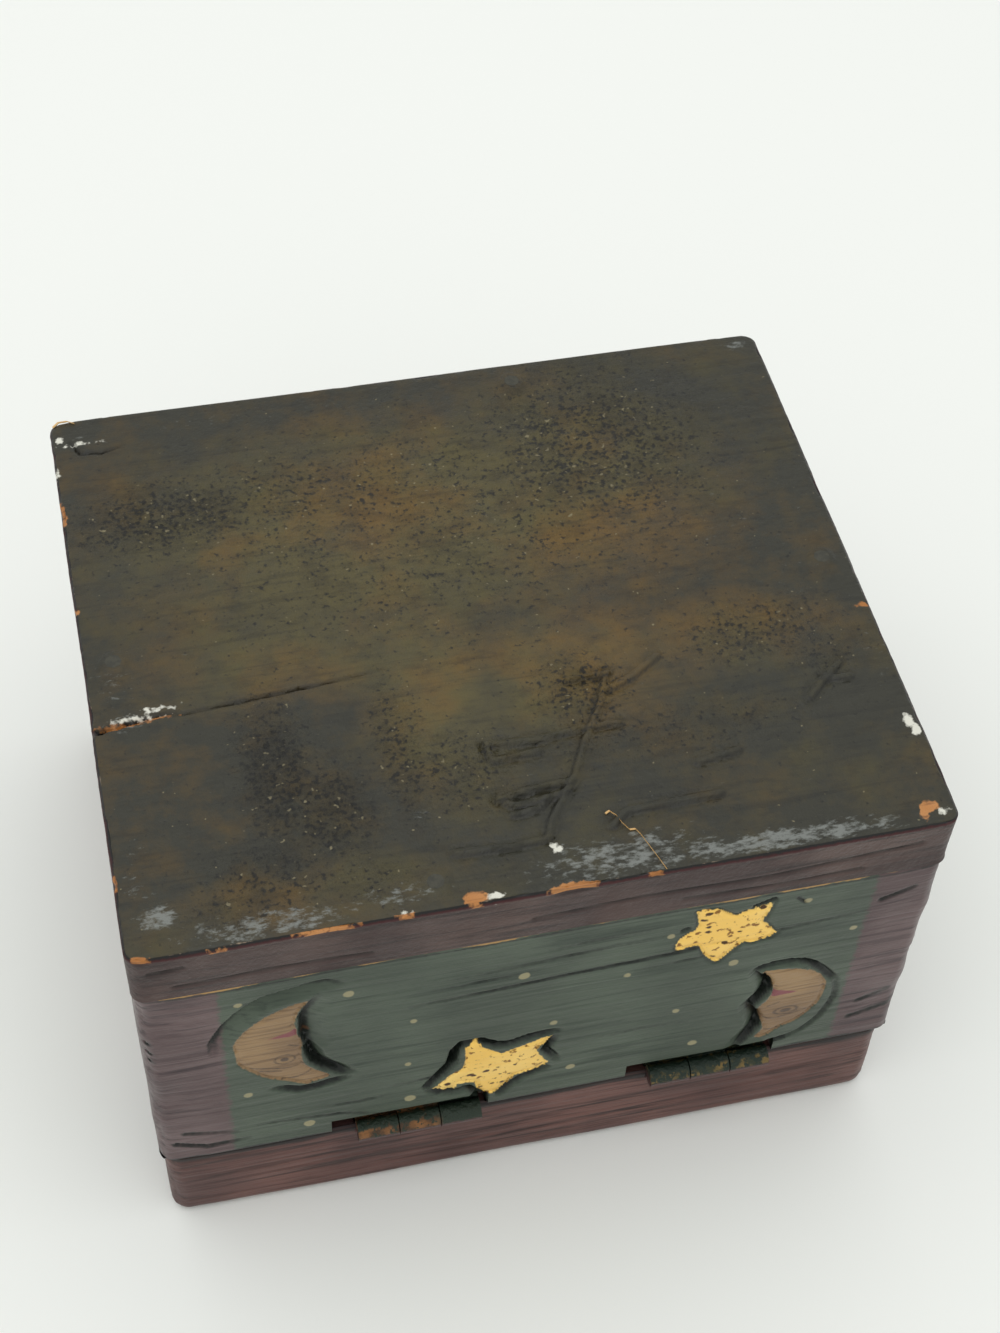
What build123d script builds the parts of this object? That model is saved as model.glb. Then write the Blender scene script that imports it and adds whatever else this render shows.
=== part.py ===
import os
from math import radians, tan

from build123d import *

os.makedirs("parts", exist_ok=True)

# A carved and painted wooden trinket box, in millimetres. It lies upside down on its lid,
# as it was photographed: +Z is up, X runs along the hinge side and Y goes away from it.
# The lid stays still, and the body with its underside board on top swings on two hinges.

# Box
box_width = 152.0
box_depth = 132.0
lid_thickness = 24.2
seam_gap = 0.8
wall_height = 62.0
wall_thickness = 12.0
board_thickness = 14.0

# Edges and corners
lid_inset = 0.8
board_corner = 3.0
wall_corner = 5.0
lid_corner = 6.0
lid_arris = 4.0
board_arris = 1.2
seam_arris = 0.8

# Glued corner joints and the hollow gouged in the lid's inner face
rebate_depth = 6.0
lid_hollow_depth = 8.0
lid_hollow_corner = 6.0

# Carving: a sloping trench round each figure, which stands just below the wall's face.
# The trench and the foot of the figure are the figure's own outline, that many times larger.
carve_depth = 2.6
moon_mouth = 1.24
moon_floor = 1.14
star_mouth = 1.26
star_floor = 1.18
figure_foot = 1.08
figure_sink = 0.4

# Butt hinges
hinge_length = 25.0
hinge_width = 9.0
leaf_thickness = 1.1
knuckle_radius = 2.2
pin_radius = 1.1
pin_clearance = 0.05
knuckle_gap = 0.25
barrel_clearance = 0.4
leaf_clearance = 0.3
left_hinge_x = -24.2
right_hinge_x = 36.0

# Notches cut in the wall's face above the barrels
notch_height = 5.0
notch_depth = 3.0
notch_left = 5.0
notch_right = 1.2

# Fasteners, all countersunk and eight-sided
nail_sides = 8
sink_angle = 82.0
nail_radius = 0.8
nail_head_radius = 1.6
nail_length = 9.0
nail_spacing = 14.0
nail_clearance = 0.05
board_pin_length = 30.0
board_pin_radius = 0.9
board_pin_head_radius = 1.6
board_pin_x = -20.7

# Heights, from the lid on the floor up to the underside board
body_z = lid_thickness + seam_gap
board_z = body_z + wall_height
box_height = board_z + board_thickness
axis_z = lid_thickness + seam_gap / 2
wall_mid_z = body_z + wall_height / 2

# The knuckles stand half proud of the hinge side, so the wood lies further back by half of
# that, and the whole box is centred about the origin
hinge_face_y = (knuckle_radius - box_depth) / 2
front_face_y = hinge_face_y + box_depth
box_mid_y = (hinge_face_y + front_face_y) / 2
inner_width = box_width - 2 * wall_thickness
inner_depth = box_depth - 2 * wall_thickness
end_wall_depth = inner_depth + 2 * rebate_depth
end_wall_x = (box_width - wall_thickness) / 2

# Hinge places along the seam, and the nails through each leaf
hinge_places = {"left_hinge": left_hinge_x, "right_hinge": right_hinge_x}
knuckle_length = (hinge_length - 2 * knuckle_gap) / 3
knuckle_pitch = knuckle_length + knuckle_gap
nail_y = hinge_face_y + (knuckle_radius + hinge_width) / 2
nail_places = [
    (x + side * nail_spacing / 2, nail_y) for x in hinge_places.values() for side in (-1, 1)
]
board_pin_places = [
    (board_pin_x, hinge_face_y + wall_thickness / 2),
    (-board_pin_x, front_face_y - wall_thickness / 2),
    (-end_wall_x, box_mid_y),
    (end_wall_x, box_mid_y),
]

# Outer faces of the four walls, each seen from outside
hinge_side = Plane((0, hinge_face_y, wall_mid_z), x_dir=(1, 0, 0), z_dir=(0, -1, 0))
front_side = Plane((0, front_face_y, wall_mid_z), x_dir=(-1, 0, 0), z_dir=(0, 1, 0))
left_side = Plane((-box_width / 2, box_mid_y, wall_mid_z), x_dir=(0, -1, 0), z_dir=(-1, 0, 0))
right_side = Plane((box_width / 2, box_mid_y, wall_mid_z), x_dir=(0, 1, 0), z_dir=(1, 0, 0))


def moon(back, face):
    """Crescent in profile: a round back from horn to chin, then the face up the inside."""
    with BuildSketch() as outline:
        with BuildLine():
            ThreePointArc(back[0], back[1], back[2])
            Line(back[2], back[3])
            Polyline(back[3], *face, back[0])
        make_face()
    return outline.sketch


def star(points):
    """Five crooked arms, as tips and notches in turn."""
    with BuildSketch() as outline:
        with BuildLine():
            Polyline(*points, close=True)
        make_face()
    return outline.sketch


def enlarged(figure, side, along, up, times):
    """A figure's outline on a wall, enlarged about the figure's middle."""
    with BuildSketch(side) as outline:
        with Locations((along, up)):
            add(scale(figure, by=times, mode=Mode.PRIVATE))
    return outline.sketch.face()


def carve(side, figures):
    """Sink a sloping trench round each figure and leave the figure standing in it."""
    floor = side.offset(-carve_depth)
    top = side.offset(-figure_sink)
    for figure, mouth_times, floor_times, along, up in figures:
        mouth_outline = enlarged(figure, side, along, up, mouth_times)
        floor_outline = enlarged(figure, floor, along, up, floor_times)
        loft([mouth_outline, floor_outline], ruled=True, mode=Mode.SUBTRACT)
        foot_outline = enlarged(figure, floor, along, up, figure_foot)
        top_outline = enlarged(figure, top, along, up, 1.0)
        loft([foot_outline, top_outline], ruled=True)


def nail(radius, head_radius, length):
    """A countersunk nail that points down from its head, which is at the origin."""
    head_height = (head_radius - radius) / tan(radians(sink_angle / 2))
    with BuildPart() as one_nail:
        with BuildSketch():
            RegularPolygon(head_radius, nail_sides)
        with BuildSketch(Plane.XY.offset(-head_height)):
            RegularPolygon(radius, nail_sides)
        loft(ruled=True)
        with BuildSketch(Plane.XY.offset(-head_height)):
            RegularPolygon(radius, nail_sides)
        extrude(amount=head_height - length)
    return one_nail.part


def nail_hole(radius, head_radius, length):
    """What a nail's hole takes out of the wood or brass."""
    return nail(radius + nail_clearance, head_radius + nail_clearance, length + nail_clearance)


hinge_nail = nail(nail_radius, nail_head_radius, nail_length)
hinge_nail_hole = nail_hole(nail_radius, nail_head_radius, nail_length)
board_pin = nail(board_pin_radius, board_pin_head_radius, board_pin_length)
board_pin_hole = nail_hole(board_pin_radius, board_pin_head_radius, board_pin_length)

# The two faces of the seam, and the hinge nails' places as the wall's face sees them
lid_seam = Plane.XY.offset(lid_thickness)
body_seam = Plane((0, 0, body_z), x_dir=(1, 0, 0), z_dir=(0, 0, -1))
body_nail_places = [(x, -y) for x, y in nail_places]


def cut_hinge_seats(seam, places):
    """Leaf mortises, beds for the barrels and nail holes, on one side of the seam."""
    for x in hinge_places.values():
        with Locations((x, hinge_face_y + hinge_width / 2, seam.origin.Z)):
            Box(
                hinge_length + 2 * leaf_clearance,
                hinge_width + 2 * leaf_clearance,
                2 * leaf_thickness,
                mode=Mode.SUBTRACT,
            )
        with Locations((x, hinge_face_y, axis_z)):
            Cylinder(
                knuckle_radius + barrel_clearance,
                hinge_length + 2 * barrel_clearance,
                rotation=(0, 90, 0),
                mode=Mode.SUBTRACT,
            )
    with Locations(seam):
        with Locations(*places):
            add(hinge_nail_hole, mode=Mode.SUBTRACT)


# Figures, in millimetres from their own middles
left_moon = moon(
    [(6.0, 15.1), (-8.2, 0.5), (4.6, -15.1), (9.5, -13.6)],
    [(5.7, -8.3), (4.3, -3.6), (5.4, -0.3), (3.7, 2.1), (4.4, 5.1), (3.4, 8.7)],
)
right_moon = moon(
    [(-7.6, 12.8), (7.0, 1.1), (-6.0, -12.8), (-5.4, -12.0)],
    [(-4.7, -9.9), (-5.8, -4.8), (-7.0, -1.3), (-5.0, 1.9), (-4.5, 6.1), (-5.6, 10.3)],
)
low_star = star(
    [
        (-5.2, 10.6),
        (2.1, 5.6),
        (12.1, 9.0),
        (9.2, 4.1),
        (11.7, -1.5),
        (5.1, -4.5),
        (0.6, -10.0),
        (-4.8, -3.7),
        (-11.7, -3.8),
        (-5.7, 2.5),
    ]
)
high_star = star(
    [
        (-6.8, 9.7),
        (1.1, 5.8),
        (8.0, 8.3),
        (6.6, 2.2),
        (10.1, -2.7),
        (3.4, -4.4),
        (-1.5, -9.6),
        (-5.2, -3.0),
        (-10.0, -1.8),
        (-6.0, 3.8),
    ]
)


# Underside board, which is on top here
with BuildPart() as underside_board:
    with BuildSketch(Plane.XY.offset(board_z)):
        with Locations((0, box_mid_y)):
            RectangleRounded(box_width, box_depth, board_corner)
    extrude(amount=board_thickness)
    chamfer(underside_board.faces().sort_by(Axis.Z)[-1].edges(), board_arris)
    with Locations(Plane.XY.offset(box_height)):
        with Locations(*board_pin_places):
            add(board_pin_hole, mode=Mode.SUBTRACT)
underside_board.part.label = "underside_board"
export_step(underside_board.part, "parts/underside_board.step")

# Hinge-side wall, rebated for the end walls and carved with two moons and two stars
with BuildPart() as hinge_side_wall:
    with BuildSketch(Plane.XY.offset(body_z)):
        with Locations((0, hinge_face_y + wall_thickness / 2)):
            Rectangle(box_width, wall_thickness)
    extrude(amount=wall_height)
    fillet(hinge_side_wall.edges().filter_by(Axis.Z).group_by(Axis.Y)[0], wall_corner)
    with BuildSketch(Plane.XY.offset(body_z)):
        with Locations(
            (-end_wall_x, hinge_face_y + wall_thickness - rebate_depth / 2),
            (end_wall_x, hinge_face_y + wall_thickness - rebate_depth / 2),
        ):
            Rectangle(wall_thickness, rebate_depth)
    extrude(amount=wall_height, mode=Mode.SUBTRACT)
    carve(
        hinge_side,
        [
            (left_moon, moon_mouth, moon_floor, -51.0, 6.5),
            (right_moon, moon_mouth, moon_floor, 50.8, -10.7),
            (low_star, star_mouth, star_floor, -10.0, -16.7),
            (high_star, star_mouth, star_floor, 34.2, 18.4),
        ],
    )
    cut_hinge_seats(body_seam, body_nail_places)
    notch_width = hinge_length + notch_left + notch_right
    for x in hinge_places.values():
        with Locations((x + (notch_right - notch_left) / 2, hinge_face_y, body_z)):
            Box(notch_width, 2 * notch_depth, 2 * notch_height, mode=Mode.SUBTRACT)
    with Locations(Plane.XY.offset(box_height)):
        with Locations(board_pin_places[0]):
            add(board_pin_hole, mode=Mode.SUBTRACT)
hinge_side_wall.part.label = "hinge_side_wall"
export_step(hinge_side_wall.part, "parts/hinge_side_wall.step")

# Front wall, the same board without hinges
with BuildPart() as front_wall:
    with BuildSketch(Plane.XY.offset(body_z)):
        with Locations((0, front_face_y - wall_thickness / 2)):
            Rectangle(box_width, wall_thickness)
    extrude(amount=wall_height)
    fillet(front_wall.edges().filter_by(Axis.Z).group_by(Axis.Y)[-1], wall_corner)
    with BuildSketch(Plane.XY.offset(body_z)):
        with Locations(
            (-end_wall_x, front_face_y - wall_thickness + rebate_depth / 2),
            (end_wall_x, front_face_y - wall_thickness + rebate_depth / 2),
        ):
            Rectangle(wall_thickness, rebate_depth)
    extrude(amount=wall_height, mode=Mode.SUBTRACT)
    carve(
        front_side,
        [
            (left_moon, moon_mouth, moon_floor, -50.0, -7.0),
            (right_moon, moon_mouth, moon_floor, 50.0, 8.0),
            (low_star, star_mouth, star_floor, -8.0, 13.0),
            (high_star, star_mouth, star_floor, 18.0, -15.0),
        ],
    )
    with Locations(Plane.XY.offset(box_height)):
        with Locations(board_pin_places[1]):
            add(board_pin_hole, mode=Mode.SUBTRACT)
front_wall.part.label = "front_wall"
export_step(front_wall.part, "parts/front_wall.step")

# End walls, glued into the rebates of the two long walls
left_end_figures = [
    (right_moon, moon_mouth, moon_floor, -30.0, 5.0),
    (low_star, star_mouth, star_floor, 24.0, -8.0),
]
right_end_figures = [
    (left_moon, moon_mouth, moon_floor, 28.0, -4.0),
    (high_star, star_mouth, star_floor, -24.0, 10.0),
]
end_walls = {
    "left_end_wall": (left_side, -end_wall_x, board_pin_places[2], left_end_figures),
    "right_end_wall": (right_side, end_wall_x, board_pin_places[3], right_end_figures),
}
for name, (side, wall_x, pin_place, figures) in end_walls.items():
    with BuildPart() as end_wall:
        with BuildSketch(Plane.XY.offset(body_z)):
            with Locations((wall_x, box_mid_y)):
                Rectangle(wall_thickness, end_wall_depth)
        extrude(amount=wall_height)
        carve(side, figures)
        with Locations(Plane.XY.offset(box_height)):
            with Locations(pin_place):
                add(board_pin_hole, mode=Mode.SUBTRACT)
    end_wall.part.label = name
    export_step(end_wall.part, f"parts/{name}.step")

# Lid, one thick board with a shallow hollow gouged in its inner face
with BuildPart() as lid:
    with BuildSketch():
        with Locations((0, box_mid_y)):
            RectangleRounded(box_width - 2 * lid_inset, box_depth - 2 * lid_inset, lid_corner)
    extrude(amount=lid_thickness)
    fillet(lid.faces().sort_by(Axis.Z)[0].edges(), lid_arris)
    chamfer(lid.faces().sort_by(Axis.Z)[-1].edges(), seam_arris)
    with BuildSketch(Plane.XY.offset(lid_thickness)):
        with Locations((0, box_mid_y)):
            RectangleRounded(inner_width, inner_depth, lid_hollow_corner)
    extrude(amount=-lid_hollow_depth, mode=Mode.SUBTRACT)
    cut_hinge_seats(lid_seam, nail_places)
lid.part.label = "lid"
export_step(lid.part, "parts/lid.step")

# Hinges: the lid leaf has the two outer knuckles and the box leaf has the middle one
leaf_kinds = {
    "lid_leaf": (lid_thickness - leaf_thickness, (-knuckle_pitch, knuckle_pitch), lid_seam),
    "box_leaf": (body_z, (0,), body_seam),
}
neck_depth = knuckle_radius + leaf_clearance + leaf_thickness
for hinge, hinge_x in hinge_places.items():
    for kind, (leaf_z, knuckles, seam) in leaf_kinds.items():
        with BuildPart() as leaf:
            with BuildSketch(Plane.XY.offset(leaf_z)):
                with Locations((hinge_x, hinge_face_y + hinge_width / 2)):
                    Rectangle(hinge_length, hinge_width)
            extrude(amount=leaf_thickness)
            with Locations((hinge_x, hinge_face_y, axis_z)):
                Cylinder(
                    knuckle_radius + leaf_clearance,
                    hinge_length,
                    rotation=(0, 90, 0),
                    mode=Mode.SUBTRACT,
                )
            for knuckle_x in knuckles:
                with Locations((hinge_x + knuckle_x, hinge_face_y, axis_z)):
                    Cylinder(knuckle_radius, knuckle_length, rotation=(0, 90, 0))
                with BuildSketch(Plane.XY.offset(leaf_z)):
                    with Locations((hinge_x + knuckle_x, hinge_face_y + neck_depth / 2)):
                        Rectangle(knuckle_length, neck_depth)
                extrude(amount=leaf_thickness)
            with Locations((hinge_x, hinge_face_y, axis_z)):
                Cylinder(
                    pin_radius + pin_clearance,
                    hinge_length,
                    rotation=(0, 90, 0),
                    mode=Mode.SUBTRACT,
                )
            with Locations(Plane((hinge_x, nail_y, seam.origin.Z), seam.x_dir, seam.z_dir)):
                with GridLocations(nail_spacing, 0, 2, 1):
                    add(hinge_nail_hole, mode=Mode.SUBTRACT)
        leaf.part.label = f"{hinge}_{kind}"
        export_step(leaf.part, f"parts/{hinge}_{kind}.step")

    with BuildPart() as pin:
        with Locations((hinge_x, hinge_face_y, axis_z)):
            Cylinder(pin_radius, hinge_length, rotation=(0, 90, 0))
    pin.part.label = f"{hinge}_pin"
    export_step(pin.part, f"parts/{hinge}_pin.step")

# Nails through the hinge leaves
with BuildPart() as lid_leaf_nails:
    with Locations(lid_seam):
        with Locations(*nail_places):
            add(hinge_nail)
lid_leaf_nails.part.label = "lid_leaf_nails"
export_step(lid_leaf_nails.part, "parts/lid_leaf_nails.step")

with BuildPart() as box_leaf_nails:
    with Locations(body_seam):
        with Locations(*body_nail_places):
            add(hinge_nail)
box_leaf_nails.part.label = "box_leaf_nails"
export_step(box_leaf_nails.part, "parts/box_leaf_nails.step")

# Pins through the underside board, one into each wall
with BuildPart() as board_pins:
    with Locations(Plane.XY.offset(box_height)):
        with Locations(*board_pin_places):
            add(board_pin)
board_pins.part.label = "board_pins"
export_step(board_pins.part, "parts/board_pins.step")
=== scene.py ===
import math
from functools import partial

import bmesh
import bpy
import numpy as np
from mathutils import Matrix, Vector, noise


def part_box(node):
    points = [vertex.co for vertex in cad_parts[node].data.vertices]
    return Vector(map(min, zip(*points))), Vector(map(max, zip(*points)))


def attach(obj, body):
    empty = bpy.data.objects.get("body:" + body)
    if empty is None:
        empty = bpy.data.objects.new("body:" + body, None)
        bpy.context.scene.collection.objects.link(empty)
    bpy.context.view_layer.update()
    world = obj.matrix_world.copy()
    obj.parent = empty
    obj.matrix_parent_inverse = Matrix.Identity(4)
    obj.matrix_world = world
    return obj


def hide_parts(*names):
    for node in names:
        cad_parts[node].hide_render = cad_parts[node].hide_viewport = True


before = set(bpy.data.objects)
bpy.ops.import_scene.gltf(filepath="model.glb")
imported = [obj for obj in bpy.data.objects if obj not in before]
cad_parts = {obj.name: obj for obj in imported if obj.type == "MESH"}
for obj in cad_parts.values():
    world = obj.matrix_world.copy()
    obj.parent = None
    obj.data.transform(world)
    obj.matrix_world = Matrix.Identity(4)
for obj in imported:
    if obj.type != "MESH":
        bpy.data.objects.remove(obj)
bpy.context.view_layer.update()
print("frame loaded")

# A carved wooden trinket box, painted plum, green and charcoal, upside down on its lid.
# Lengths in the dictionaries are millimetres; x runs along the hinge side and z is up.
mm = 0.001


def boxOf(node):
    low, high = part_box(node)
    return [v / mm for v in low], [v / mm for v in high]


boardLow, boardHigh = boxOf("underside_board")
lidLow, lidHigh = boxOf("lid")
wallMidZ = sum(corner[2] for corner in boxOf("hinge_side_wall")) / 2
boxMidY = (boardLow[1] + boardHigh[1]) / 2



# Camera at the photograph's view
cameraSettings = {
    "place": (-68.5, -263.75, 422.0),
    "aim": (12.0, 25.2, 50.5),
    "roll": 3.5,  # degrees
    "lens": 59.0,  # for 36 mm along the long side
}


def makeCamera(settings):
    data = bpy.data.cameras.new("camera")
    data.sensor_width = 36.0
    data.lens = settings["lens"]
    camera = bpy.data.objects.new("camera", data)
    bpy.context.scene.collection.objects.link(camera)
    place = Vector(settings["place"]) * mm
    look = Vector(settings["aim"]) * mm - place
    turn = look.to_track_quat("-Z", "Y").to_matrix().to_4x4()
    roll = Matrix.Rotation(math.radians(settings["roll"]), 4, "Z")
    camera.matrix_world = Matrix.Translation(place) @ turn @ roll
    bpy.context.scene.camera = camera


makeCamera(cameraSettings)


# Small tools for nodes

def toLinear(hexText):
    parts = [int(hexText[i:i + 2], 16) / 255 for i in (1, 3, 5)]
    return [c / 12.92 if c <= 0.04045 else ((c + 0.055) / 1.055) ** 2.4 for c in parts] + [1.0]


def addNode(tree, kind, values=None, out=0):
    # a value goes to the node's own setting of that name, or else to its socket
    node = tree.nodes.new("ShaderNode" + kind)
    for name, value in (values or {}).items():
        if isinstance(name, str) and hasattr(node, name):
            setattr(node, name, value)
        elif isinstance(value, bpy.types.NodeSocket):
            tree.links.new(value, node.inputs[name])
        else:
            node.inputs[name].default_value = value
    return node.outputs[out] if node.outputs else node


def newMaterial(name):
    # an empty material, and the function that adds a node to it
    material = bpy.data.materials.new(name)
    material.use_nodes = True
    material.node_tree.nodes.clear()
    return material, partial(addNode, material.node_tree)


def finishMaterial(material, add, relief, shading):
    # every finish ends alike: its fine relief, the shader and the output
    bump = add("Bump", relief)
    shader = add("BsdfPrincipled", {**shading, "Normal": bump})
    add("OutputMaterial", {"Surface": shader})
    return material


# Small tools for shapes

def addBlock(bm, low, high):
    made = bmesh.ops.create_cube(bm, size=1.0)["verts"]
    bmesh.ops.scale(bm, vec=[h - l for l, h in zip(low, high)], verts=made)
    bmesh.ops.translate(bm, vec=[(l + h) / 2 for l, h in zip(low, high)], verts=made)


def woodBlock(low, high, pitch):
    # a block with a fine grid on every face; pitch is one length for each axis
    bm = bmesh.new()
    addBlock(bm, low, high)
    for axis in range(3):
        cuts = round((high[axis] - low[axis]) / pitch[axis]) - 1
        along = [e for e in bm.edges if abs(e.verts[0].co[axis] - e.verts[1].co[axis]) > 1e-4]
        if cuts > 0:
            bmesh.ops.subdivide_edges(bm, edges=along, cuts=cuts, use_grid_fill=True)
    return bm


def mergeFace(bm, axis, level, margin=0.0):
    # the grid on a face that doesn't show becomes one plain face, inside a margin
    low = [min(v.co[k] for v in bm.verts) + margin for k in range(3)]
    high = [max(v.co[k] for v in bm.verts) - margin for k in range(3)]
    others = [k for k in range(3) if k != axis]
    flat = [
        f for f in bm.faces if all(abs(v.co[axis] - level) < 1e-3 for v in f.verts)
        and all(low[k] <= f.calc_center_median()[k] <= high[k] for k in others)
    ]
    bmesh.ops.dissolve_faces(bm, faces=flat, use_verts=False)


def makePiece(name, bm, materials):
    mesh = bpy.data.meshes.new(name)
    bm.to_mesh(mesh)
    bm.free()
    piece = bpy.data.objects.new(name, mesh)
    bpy.context.scene.collection.objects.link(piece)
    for material in materials:
        mesh.materials.append(material)
    return piece


def cutAway(piece, cutters):
    cutter = makePiece("cutter", cutters, [])
    change = piece.modifiers.new("cut", "BOOLEAN")
    change.object = cutter
    change.operation = "DIFFERENCE"
    change.solver = "MANIFOLD"
    graph = bpy.context.evaluated_depsgraph_get()
    mesh = bpy.data.meshes.new_from_object(piece.evaluated_get(graph))
    piece.modifiers.clear()
    piece.data = mesh
    bpy.data.objects.remove(cutter)


def readPlaces(items, kind):
    # the points of a mesh, or the centres of its faces
    places = np.empty(len(items) * 3)
    items.foreach_get(kind, places)
    return places.reshape(-1, 3)


def nearest(path, u, v):
    # distance to a path, its side (positive on the left) and how many points along it
    best, side, place = np.full(len(u), 1e6), np.zeros(len(u)), np.zeros(len(u))
    for i in range(len(path) - 1):
        ax, ay = path[i][:2]
        dx, dy = path[i + 1][0] - ax, path[i + 1][1] - ay
        t = np.clip(((u - ax) * dx + (v - ay) * dy) / (dx * dx + dy * dy), 0, 1)
        ox, oy = u - ax - t * dx, v - ay - t * dy
        away = np.hypot(ox, oy)
        closer = away < best
        best = np.where(closer, away, best)
        side = np.where(closer, dx * oy - dy * ox, side)
        place = np.where(closer, i + t, place)
    return best, side, place


def insideBy(outline, u, v):
    # distance from an outline, positive inside it
    closed = list(outline) + [outline[0]]
    away = nearest(closed, u, v)[0]
    inside = np.zeros(len(u), dtype=bool)
    for (ax, ay), (bx, by) in zip(closed, closed[1:]):
        if ay != by:
            inside ^= ((ay > v) != (by > v)) & (u < (bx - ax) * (v - ay) / (by - ay) + ax)
    return np.where(inside, away, -away)


def smoothed(path, closed=False):
    # the same points with three more between each two, on a smooth line
    points = [Vector(p) for p in path]
    count = len(points)
    ends = range(count if closed else count - 1)
    result = []
    for i in ends:
        before = points[(i - 1) % count] if closed or i else points[i]
        a, b = points[i], points[(i + 1) % count]
        after = points[(i + 2) % count] if closed or i + 2 < count else b
        for step in range(4):
            t = step / 4
            near = a * 2 + (b - before) * t
            far = (before * 2 - a * 5 + b * 4 - after) * t ** 2
            result.append(tuple((near + far + (a * 3 - before - b * 3 + after) * t ** 3) / 2))
    return result if closed else result + [tuple(points[-1])]


def cutDepth(cut, u, v):
    # a knife or gouge cut, steep on its narrow side and sloping on its wide one, and its shade
    left, right, path = cut
    away, side, place = nearest(path, u, v)
    depth = np.interp(place, range(len(path)), [p[2] for p in path])
    wide = np.where(side > 0, left, right)
    reach = 0.35 + 0.45 * np.minimum(wide, 2)
    dark = np.clip(depth / 1.3, 0, 1) * np.clip((1.25 - away / reach) / 0.6, 0, 1)
    return 1.2 * depth * fade(away, wide) ** 1.25, dark


def fade(values, reach):
    # one at nothing, falling to nothing at this reach
    return np.clip(1 - values / reach, 0, 1)


def grainNoise(points, scale, seed):
    offset = Vector((seed * 7.3, seed * 3.1, seed * 5.7))
    stretch = np.array(points) / np.array(scale)
    return np.array([noise.noise(Vector(p) + offset) for p in stretch])


def roundedBlock(points, low, high, corner, topArris, lowArris=0.0):
    # rounds the upright corners and the long arrises, and gives each point's way out
    core = np.array([[low[0] + corner, low[1] + corner], [high[0] - corner, high[1] - corner]])
    held = np.clip(points[:, :2], core[0], core[1])
    away = points[:, :2] - held
    reach = np.abs(away).max(axis=1)
    length = np.maximum(np.hypot(away[:, 0], away[:, 1]), 1e-9)
    out = away / length[:, None]
    inset = corner - reach
    z = points[:, 2].copy()
    down = high[2] - z
    rolled = (inset < topArris) & (down < topArris)
    overX, overZ = topArris - inset, topArris - down
    span = np.maximum(np.hypot(overX, overZ), 1e-9)
    normal = np.zeros_like(points)
    side = inset < 0.01
    normal[side, :2] = out[side]
    normal[(~side) & (down < 0.01), 2] = 1.0
    if topArris > 0:
        inset = np.where(rolled, topArris - overX / span * topArris, inset)
        z = np.where(rolled, high[2] - topArris + overZ / span * topArris, z)
        normal[rolled, :2] = (out * (overX / span)[:, None])[rolled]
        normal[rolled, 2] = (overZ / span)[rolled]
    if lowArris > 0:
        up = points[:, 2] - low[2]
        under = side & (up < lowArris)
        angle = np.clip(up / lowArris, 0, 1) * math.pi / 2
        inset = np.where(under, inset + lowArris * (1 - np.sin(angle)), inset)
        z = np.where(under, low[2] + lowArris * (1 - np.cos(angle)), z)
        normal[under, :2] = (out * np.sin(angle)[:, None])[under]
        normal[under, 2] = -np.cos(angle)[under]
    moved = points.copy()
    shaped = reach > 1e-6
    moved[shaped, :2] = (held + out * (corner - inset)[:, None])[shaped]
    moved[:, 2] = z
    return moved, normal, inset


def finishShape(piece, points, bare, fields):
    # the new places, the faces left bare of paint, and the fields that the paint reads
    mesh = piece.data
    mesh.polygons.foreach_set("material_index", bare.astype(np.int32))
    mesh.vertices.foreach_set("co", (points * mm).ravel())
    for name, values in fields.items():
        mesh.attributes.new(name, "FLOAT", "POINT").data.foreach_set("value", values)
    mesh.update()
    mesh.polygons.foreach_set("use_smooth", [True] * len(mesh.polygons))
    mesh.set_sharp_from_angle(angle=math.radians(60))


# Figures, from their own middles. A cut is its width on the left and on the right, and its
# path with a depth at each point; a pit is its place and radius, and an eye has two radii.

leftMoon = {
    "outline": [
        (6, 15.1), (1, 13.7), (-4, 10.2), (-7.3, 5.9), (-8.1, 3.1), (-7.9, 0), (-7.6, -3.6),
        (-5.8, -6.4), (-2.7, -10.2), (1, -12.5), (4.6, -15.1), (6.5, -14.7), (9.5, -13.6),
        (8, -11.8), (6.2, -9.8), (4.6, -7), (4.3, -3.6), (4.5, -0.5), (4.3, 1.5), (3.7, 3.4),
        (3.6, 5.9), (3.4, 7.7), (3.8, 10.2), (4.6, 12.6),
    ],
    "cuts": [
        (0.8, 5, [(-12.1, 1.5, 0.2), (-12.1, 5.9, 1.2), (-10.4, 9.5, 1.9), (-8.9, 12, 2.3),
            (-6.7, 14.8, 2.4), (-4.9, 16.6, 2.5), (-1.8, 18.9, 2.5), (1, 19.5, 2.2), (4, 20, 2),
            (6.5, 20.7, 1.6), (9.5, 20.9, 1.2), (13.5, 19.1, 0.1)]),
        (2, 1, [(-2, -14.9, 0.3), (1, -15.9, 1), (3.4, -17.4, 1.5), (6.5, -17.4, 1.7),
            (9.5, -16.5, 1.5), (12.6, -15.8, 0.5)]),
        (3.2, 1.1, [(5.4, -1, 1.6), (5.4, -2.1, 2.2), (5.9, -5.2, 2.5), (6.5, -7.6, 2.5),
            (8.3, -10.1, 2.3), (11.1, -12.8, 1.8), (13.4, -13.8, 0.4)]),
        (1, 5.5, [(5.1, 0.5, 2), (4.8, 3.5, 2.2), (4.8, 6.5, 2), (4.8, 10, 1.8),
            (6, 13, 1.3), (7.5, 16, 0.4)]),
    ],
    "lips": [[(-1.8, 3.7), (3.6, 5.7), (3.6, 3.4)]],
    "ink": [
        [(2, 0.5), (3.9, -0.6)],
        [(-5.5, -5.8), (1, -7.8), (4.6, -7)],
        [(-4, -7.3), (0.3, -8.7)],
        [(0.3, -11.8), (3.4, -11.8), (6.2, -10.1)],
    ],
    "eye": (1.1, -4.6, 1.9, 1.6),
    "pits": [(5.5, 2.5, 1.2), (5, 10.2, 0.8)],
}

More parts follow.
